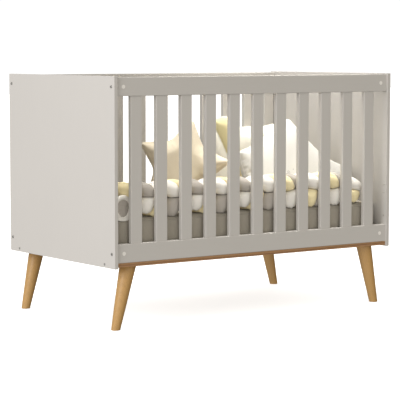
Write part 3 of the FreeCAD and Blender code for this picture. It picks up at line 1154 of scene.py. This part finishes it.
class Strand(Enum):
    """The braid's three tubes."""

    WHITE = Way(0, Finish.WHITE_JERSEY, start=0.085, stop=0.03, lift=0.014, firm=0.07)
    CREAM = Way(1, Finish.CREAM_JERSEY, start=0.036, stop=0.026, late=-0.003, drift=0.028)
    GREY = Way(2, Finish.GREY_JERSEY, start=0.100, stop=0.034, late=-0.026, drift=0.013)


CLOTH_SETTINGS: dict[str, Any] = {
    "quality": 5, "mass": 0.3, "tension_stiffness": 12, "compression_stiffness": 4, "shear_stiffness": 4,
    "bending_stiffness": 0.15, "use_pressure": True, "shrink_min": -0.02}


@dataclass
class Cushion:
    """A stuffed cushion sewn from two pieces of cloth, blown up by cloth simulation.

    Attributes:
        node: The CAD node that the cushion stands for.
        body: The body that it rides on.
        slot: Its material slot; not used.
        corner: Radius of its rounded corners.
        square: Size of the mesh's squares.
        crown: Distance from the seam at which the cushion is full.
        puff: Its fullness, as a share of the solid's thickness.
        pressure: The stuffing's pressure on the cloth.
        cap: How far the simulation may move a point.
        frames: How many frames the simulation runs.
        flat_share: Thickness of the shell before it is filled, in squares.
        seam_half: Half the thickness at the seam.
        rest_gap: Room left above the mattress.
    """

    node: str
    body: str
    slot: str
    finish: Finish
    seam: Finish
    corner: float = 0.02
    square: float = 0.006
    crown: float = 0.09
    puff: float = 1.0
    pressure: float = 3.0
    cap: float = 0.014
    frames: int = 20
    corner_steps: int = 6
    flat_share: float = 2.2
    seam_half: float = 0.001
    rest_gap: float = 0.0007
    seam_radius: float = 0.0013
    fill: float = 0.7

    def build(self) -> list[bpy.types.Object]:
        """Model the cushion in its CAD solid's space.

        Returns:
            The cushion and its seam.
        """
        piece = copy_of_node(self.node, "sewn_" + self.node)
        normal, middle, thickness = self.lie(piece)
        self.thin(piece, normal, middle, thickness)
        outline = self.outline(piece, normal, middle)
        remesh(piece, self.square)
        self.inflate(piece, normal, middle, thickness, outline)
        self.simulate(piece)
        self.rest(piece)
        apply(piece, "SUBSURF", levels=1, render_levels=1)
        smooth(piece, 180)
        dress(piece, self.finish.material)
        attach(piece, self.body)
        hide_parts(self.node)
        cord = piping(piece, "seam_" + self.node, middle, normal, self.seam_radius)
        dress(cord, self.seam.material)
        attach(cord, self.body)
        return [piece, cord]

    def lie(self, piece: bpy.types.Object) -> tuple[Vector, Vector, float]:
        """Measure how a flat solid lies.

        Args:
            piece: The solid.

        Returns:
            Its broad faces' normal, its middle, and its thickness.
        """
        areas: dict[tuple, float] = {}
        for face in piece.data.polygons:
            way = face.normal if face.normal.y < 0 else -face.normal
            key = tuple(round(part, 3) for part in way)
            areas[key] = areas.get(key, 0.0) + face.area
        normal = Vector(max(areas, key=areas.get)).normalized()
        depths = points(piece) @ np.array(normal)
        low, high = depths.min(), depths.max()
        for face in piece.data.polygons:
            if face.normal.dot(normal) > 0.999:
                high = face.center.dot(normal)
            if face.normal.dot(normal) < -0.999:
                low = face.center.dot(normal)
        places = points(piece)
        middle = Vector((places.max(axis=0) + places.min(axis=0)) / 2)
        middle += normal * ((low + high) / 2 - middle.dot(normal))
        return normal, middle, high - low

    def thin(self, piece: bpy.types.Object, normal: Vector, middle: Vector, thickness: float) -> None:
        """Round the corners and press the solid flat before it is filled.

        Args:
            piece: The solid.
            normal: Its broad faces' normal.
            middle: Its middle.
            thickness: Its thickness.
        """
        with editing(piece):
            bpy.ops.mesh.select_mode(type="EDGE")
            bpy.ops.mesh.dissolve_limited(angle_limit=math.radians(1))
            bpy.ops.mesh.select_all(action="DESELECT")
        for edge in piece.data.edges:
            ends = [piece.data.vertices[i].co for i in edge.vertices]
            run = ends[1] - ends[0]
            edge.select = abs(run.normalized().dot(normal)) > 0.99 and run.length > 0.6 * thickness
        with editing(piece, None):
            bpy.ops.mesh.bevel(offset=self.corner, segments=self.corner_steps, affect="EDGES",
                               clamp_overlap=True)
            bpy.ops.mesh.select_mode(type="VERT")
        places = points(piece)
        depths = (places - np.array(middle)) @ np.array(normal)
        share = 1 - self.flat_share * self.square / thickness
        move_points(piece, places - np.outer(depths * share, np.array(normal)))

    def outline(self, piece: bpy.types.Object, normal: Vector, middle: Vector) -> np.ndarray:
        """Find the edges round the front face.

        Args:
            piece: The solid.
            normal: Its broad faces' normal.
            middle: Its middle.

        Returns:
            Each edge's two ends, pressed into the middle plane.
        """
        rim = []
        for face in piece.data.polygons:
            if face.normal.dot(normal) > 0.99:
                corners = [piece.data.vertices[i].co for i in face.vertices]
                for one, other in zip(corners, corners[1:] + corners[:1]):
                    rim.append(tuple(sorted([tuple(one), tuple(other)])))
        ends = np.array([pair for pair in rim if rim.count(pair) == 1])
        depths = (ends - np.array(middle)) @ np.array(normal)
        return ends - depths[..., None] * np.array(normal)

    def inflate(self, piece: bpy.types.Object, normal: Vector, middle: Vector, thickness: float,
                outline: np.ndarray) -> None:
        """Give the flat shell a crowned shape that closes to a seam all round.

        Args:
            piece: The shell.
            normal: Its broad faces' normal.
            middle: Its middle.
            thickness: The cushion's full thickness.
            outline: The edges of its seam.
        """
        places = points(piece)
        face = np.array(normal)
        depths = (places - np.array(middle)) @ face
        flat = places - np.outer(depths, face)
        start, run = outline[:, 0], outline[:, 1] - outline[:, 0]
        length = (run ** 2).sum(axis=1) + 1e-12
        rim = np.full(len(flat), np.inf)
        for one, way, square in zip(start, run, length):
            share = np.clip(((flat - one) @ way) / square, 0, 1)
            rim = np.minimum(rim, np.linalg.norm(flat - one - share[:, None] * way, axis=1))
        share = np.clip(rim / self.crown, 0, 1)
        height = np.sqrt(1 - (1 - share) ** 2) * thickness / 2 * self.puff
        move_points(piece, flat + np.outer(np.sign(depths) * (height + self.seam_half), face))
        apply(piece, "SMOOTH", factor=0.5, iterations=4)

    def simulate(self, piece: bpy.types.Object) -> None:
        """Blow the cover up as cloth, and keep it near its shape.

        Args:
            piece: The cover.
        """
        before = points(piece)
        only(piece)
        modifier = piece.modifiers.new("cloth", "CLOTH")
        cloth = modifier.settings
        for name, value in CLOTH_SETTINGS.items():
            setattr(cloth, name, value)
        cloth.uniform_pressure_force = self.pressure
        cloth.effector_weights.gravity = 0
        modifier.collision_settings.use_collision = False
        scene = bpy.context.scene
        for frame in range(1, self.frames + 1):
            scene.frame_set(frame)
        bpy.ops.object.modifier_apply(modifier=modifier.name)
        scene.frame_set(1)
        moved = points(piece) - before
        far = np.linalg.norm(moved, axis=1)[:, None] + 1e-9
        move_points(piece, before + moved / far * np.minimum(far, self.cap))

    def rest(self, piece: bpy.types.Object) -> None:
        """Flatten the cushion where it rests on the mattress.

        Args:
            piece: The cushion.
        """
        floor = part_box("mattress")[1].z + self.rest_gap
        places = points(piece)
        places[:, 2] = np.maximum(places[:, 2], floor)
        move_points(piece, places)


# ---- studio --------------------------------------------------------------------------------------
@dataclass(frozen=True)
class Softbox:
    """A rectangular soft light aimed at a point, with its power in watts and its spread in degrees."""

    name: str
    place: tuple[float, float, float]
    aim: tuple[float, float, float]
    size: tuple[float, float]
    power: float
    colour: Colour
    spread: float = 180.0

    def build(self) -> None:
        """Add the light."""
        data = bpy.data.lights.new(self.name, "AREA")
        data.shape = "RECTANGLE"
        data.size, data.size_y = self.size
        data.energy = self.power
        data.color = self.colour
        data.spread = math.radians(self.spread)
        lamp = add(self.name, data)
        lamp.location = self.place
        beam = Vector(self.aim) - Vector(self.place)
        lamp.rotation_euler = beam.to_track_quat("-Z", "Y").to_euler()


SOFTBOXES = (
    Softbox("right_softbox", (0.40, -0.02, 1.95), (0.40, 0.14, 0.5), (0.4, 0.36), 2.6, (1.0, 0.98, 0.92),
            60.0),
    Softbox("bumper_softbox", (0.0, -0.25, 1.95), (0.0, -0.245, 0.5), (1.15, 0.14), 2.2,
            (1.0, 0.99, 0.96), 34.0),
    Softbox("left_softbox", (-4.2, -0.9, 1.9), (0.0, 0.0, 0.6), (2.4, 2.4), 67.0, (1.0, 1.0, 1.06)),
    Softbox("rear_softbox", (3.4, 2.6, 1.9), (0.2, 0.0, 0.6), (2.4, 2.4), 34.0, (1.0, 0.98, 0.95)))


@dataclass
class Studio:
    """White floor and surroundings, soft lights and the camera."""

    camera_place: tuple[float, float, float] = (-4.0733, -5.7080, 1.0411)
    camera_heading: float = 35.453
    camera_dip: float = 4.973
    lens: float = 155.5
    film_width: float = 36.0
    floor_half: float = 30.0
    floor_drop: float = 0.0005
    floor_glow: float = 0.70
    ambient: float = 0.60
    from_left: float = 0.54
    from_front: float = 0.27
    from_above: float = 0.32
    least: float = 0.03
    backdrop: float = 1.05
    warm: Colour = (1.0, 0.94, 0.83)
    neutral: Colour = (1.0, 0.995, 0.985)

    def build(self) -> None:
        """Set up everything round the crib."""
        self.camera()
        self.world()
        self.floor()
        for softbox in SOFTBOXES:
            softbox.build()

    def camera(self) -> None:
        """Place the camera in front of the left corner."""
        data = bpy.data.cameras.new("camera")
        data.lens = self.lens
        data.sensor_width = self.film_width
        camera = add("camera", data)
        camera.location = self.camera_place
        camera.rotation_euler = (math.radians(90 - self.camera_dip), 0.0,
                                 -math.radians(self.camera_heading))
        bpy.context.scene.camera = camera

    def world(self) -> None:
        """White surroundings, whose light is brighter from the left and warmer from the right."""
        world = bpy.data.worlds.new("surroundings")
        world.use_nodes = True
        nodes = Nodes(world.node_tree)
        back = nodes.tree.nodes["Background"]
        x, y, z = nodes.axes(nodes.node("ShaderNodeTexCoord", output="Generated"))
        seen = nodes.node("ShaderNodeLightPath", output="Is Camera Ray")
        soft = self.ambient - x * self.from_left - y * self.from_front + z * self.from_above
        strength = (1 - seen) * soft.math("MAXIMUM", self.least) + seen * self.backdrop
        side = (x * 0.5 + 0.5 - seen).math("MAXIMUM", 0.0)
        tint = nodes.mix(side, self.neutral, self.warm)
        for value, name in ((tint, "Color"), (strength, "Strength")):
            nodes.tree.links.new(value.socket, back.inputs[name])
        bpy.context.scene.world = world
        bpy.context.scene.view_settings.view_transform = "Standard"

    def floor(self) -> None:
        """Plain pale floor that glows a little, as a lit studio sweep does."""
        bpy.ops.object.select_all(action="DESELECT")
        bpy.ops.mesh.primitive_plane_add(size=2 * self.floor_half, location=(0.0, 0.0, -self.floor_drop))
        floor = bpy.context.active_object
        floor.name = "studio_floor"
        shade = Shade("studio_sweep")
        shade.put(Base_Color=(0.9, 0.9, 0.9, 1.0), Roughness=0.9, Emission_Color=(1.0, 1.0, 1.0, 1.0),
                  Emission_Strength=self.floor_glow, Specular_IOR_Level=0.1)
        dress(floor, shade.material)
        floor.visible_diffuse = False
        floor.visible_glossy = False
        floor.visible_shadow = False


LEGS = ("leg_front_left", "leg_front_right", "leg_rear_left", "leg_rear_right")
CUSHIONS = (
    Cushion("star_cushion", "star", "star_fabric", Finish.STAR, Finish.STAR, corner=0.016, crown=0.075,
            puff=1.15, square=0.005),
    Cushion("white_pillow", "white_pillow", "white_cotton", Finish.PRINTED, Finish.PRINTED, corner=0.014,
            crown=0.11, puff=1.1),
    Cushion("cream_pillow", "cream_pillow", "cream_cotton", Finish.CREAM, Finish.CREAM, corner=0.02,
            crown=0.1, puff=1.05),
    Cushion("petal_cushion", "petal", "mustard_cotton", Finish.MUSTARD, Finish.CREAM, corner=0.012,
            crown=0.05, puff=1.1, square=0.005, seam_radius=0.0035))


def main() -> None:
    """Build the crib's looks round the CAD frame."""
    logging.basicConfig(level=logging.INFO, format="%(message)s")
    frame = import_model()
    Studio().build()
    Joinery().dress(frame["nodes"])
    log.info("dressed %d CAD pieces", len(frame["nodes"]))
    pieces = [Leg(node).build() for node in LEGS] + Mattress().build() + Braid().build()
    for cushion in CUSHIONS:
        pieces += cushion.build()
    for piece in pieces:
        log.info("modelled %s", piece.name)
    bpy.ops.object.select_all(action="DESELECT")


if __name__ == "__main__":
    main()
